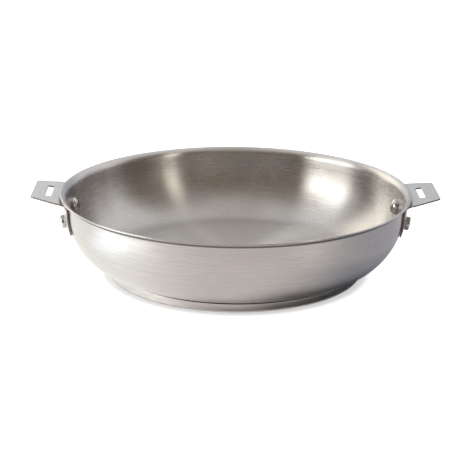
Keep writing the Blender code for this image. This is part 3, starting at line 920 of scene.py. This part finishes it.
def make_floor():
    """A pale floor that keeps the pan's shadow, is lifted to white where it is seen and has a painted contact
    shadow near the base.
    """
    bm = bmesh.new()
    bmesh.ops.create_circle(bm, cap_ends=True, segments=FLOOR_SIDES, radius=FLOOR_RADIUS)
    floor = link(bpy.data.objects.new("floor", bpy.data.meshes.new("floor")))
    bm.to_mesh(floor.data)
    bm.free()
    material = bpy.data.materials.new("floor")
    material.use_nodes = True
    tree = material.node_tree
    tree.nodes.clear()
    settings = {"samples": OPENNESS_SAMPLES}
    # Painted contact shadow: less lift where ambient occlusion finds the base near
    openness = add_node(tree, "ShaderNodeAmbientOcclusion", settings, {"Distance": CONTACT_REACH})
    contact = spread(tree, openness.outputs["AO"], CONTACT_OPEN, 1.0, CONTACT_LIFT, FLOOR_LIFT)
    lift = calculate(tree, "MULTIPLY", seen_or_mirrored(tree), contact)
    glow = add_node(tree, "ShaderNodeEmission", {}, {"Strength": lift})
    diffuse = add_node(tree, "ShaderNodeBsdfDiffuse", {}, {"Color": (*FLOOR_COLOUR, 1.0)})
    both = add_node(tree, "ShaderNodeAddShader", {}, {0: glow.outputs[0], 1: diffuse.outputs[0]})
    add_node(tree, "ShaderNodeOutputMaterial", {}, {"Surface": both.outputs[0]})
    floor.data.materials.append(material)


def make_camera():
    """The camera in front of the pan and above it, turned, tipped and rolled a little."""
    data = bpy.data.cameras.new("camera")
    data.sensor_width = SENSOR_WIDTH
    data.lens = SENSOR_WIDTH * FOCAL_PIXELS / PICTURE_WIDTH
    camera = link(bpy.data.objects.new("camera", data))
    place = Matrix.Translation((CAMERA_SIDE, -CAMERA_DISTANCE, CAMERA_HEIGHT))
    aim = Matrix.Rotation(0.5 * math.pi - CAMERA_PITCH, 4, "X") @ Matrix.Rotation(CAMERA_ROLL, 4, "Z")
    camera.matrix_world = Matrix.Rotation(CAMERA_TURN, 4, "Z") @ place @ aim
    bpy.context.scene.camera = camera


def make_shell():
    """The pressed sheet, with one finish outside and another from the lip's edge inward."""
    outside = turned_steel(
        "shell_outside",
        roughness=0.3,
        middle_roughness=0.3,
        wear=0.025,
        anisotropic=0.8,
        # Painted shade in rings above the foot and under the lip
        shade_rings=((SHADE_ABOVE_FOOT, 1.0), (SHADE_UNDER_LIP, UNDER_LIP_SHADE_SHARE)),
    )
    inside = turned_steel(
        "shell_inside",
        roughness=0.28,
        middle_roughness=0.43,
        wear=0.025,
        anisotropic=1.0,
    )
    profile, lip_edge = shell_profile()
    mesh = turned_mesh("shell", profile, TURNED_STEPS, outside, inside, second_from=lip_edge)
    dress(link(bpy.data.objects.new("shell", mesh)), "pan_shell")


def make_cap():
    """The cup under the base, with painted shade round its rim."""
    steel = turned_steel(
        "base_steel",
        roughness=0.3,
        middle_roughness=0.3,
        wear=0.03,
        anisotropic=0.6,
        # Painted shade in a ring round the cap's rim
        shade_rings=((SHADE_ROUND_CAP_RIM, 1.0),),
    )
    mesh = turned_mesh("cap", cap_profile(), TURNED_STEPS, steel)
    dress(link(bpy.data.objects.new("cap", mesh)), "base_cap")


def finish_core():
    """Bare aluminium on the frame's own core, with painted shade on the edge that the groove shows."""
    metal = plain_steel(
        "core_aluminium",
        CORE_PALE,
        CORE_DARK,
        roughness=0.45,
        wear=0.03,
        scale=600.0,
        stretch=EVEN_GRAIN,
        # Painted shade on the core's edge, from the wall's foot outward
        shade_from=FOOT_RADIUS,
    )
    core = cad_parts["base_core"]
    core.data.materials.clear()
    core.data.materials.append(metal)


def flange_shape():
    """The flange in satin steel, with the grain of a cut edge round its side and its slot, painted darker as
    shade.
    """
    face_steel = plain_steel(
        "flange_steel",
        SATIN_PALE,
        SATIN_DARK,
        roughness=0.35,
        wear=0.03,
        scale=900.0,
        stretch=TAB_GRAIN,
    )
    shaded_cut_steel = plain_steel(
        "shaded_cut_steel",
        CUT_SHADED_PALE,
        CUT_SHADED_DARK,
        roughness=0.42,
        wear=0.05,
        scale=900.0,
        stretch=EDGE_GRAIN,
    )
    return flange_mesh("flange", face_steel, shaded_cut_steel)


def rivet_shape():
    """The rivet in bright steel."""
    steel = plain_steel(
        "rivet_steel",
        RIVET_PALE,
        RIVET_DARK,
        roughness=0.08,
        wear=0.02,
        scale=1200.0,
        stretch=EVEN_GRAIN,
    )
    return turned_mesh("rivet", rivet_profile(), RIVET_STEPS, steel)


def make_sides():
    """A flange and its two rivets on the right, and the same turned half way round on the left."""
    plate = flange_shape()
    rivet_body = rivet_shape()
    for side_name, turn, front_end in (("right", 0.0, -1.0), ("left", math.pi, 1.0)):
        half_turn = Matrix.Rotation(turn, 4, "Z")
        flange = link(bpy.data.objects.new("flange_" + side_name, plate))
        flange.matrix_world = half_turn
        dress(flange, "handle_flange_" + side_name)
        for end_name, end in (("front", front_end), ("rear", -front_end)):
            name = side_name + "_" + end_name
            rivet = link(bpy.data.objects.new("rivet_head_" + name, rivet_body))
            rivet.matrix_world = half_turn @ rivet_place(end * RIVET_SIDE)
            dress(rivet, "rivet_" + name)


make_camera()
make_world()
make_floor()
make_cards()
make_shell()
make_cap()
finish_core()
make_sides()

bpy.context.scene.view_settings.view_transform = "Standard"
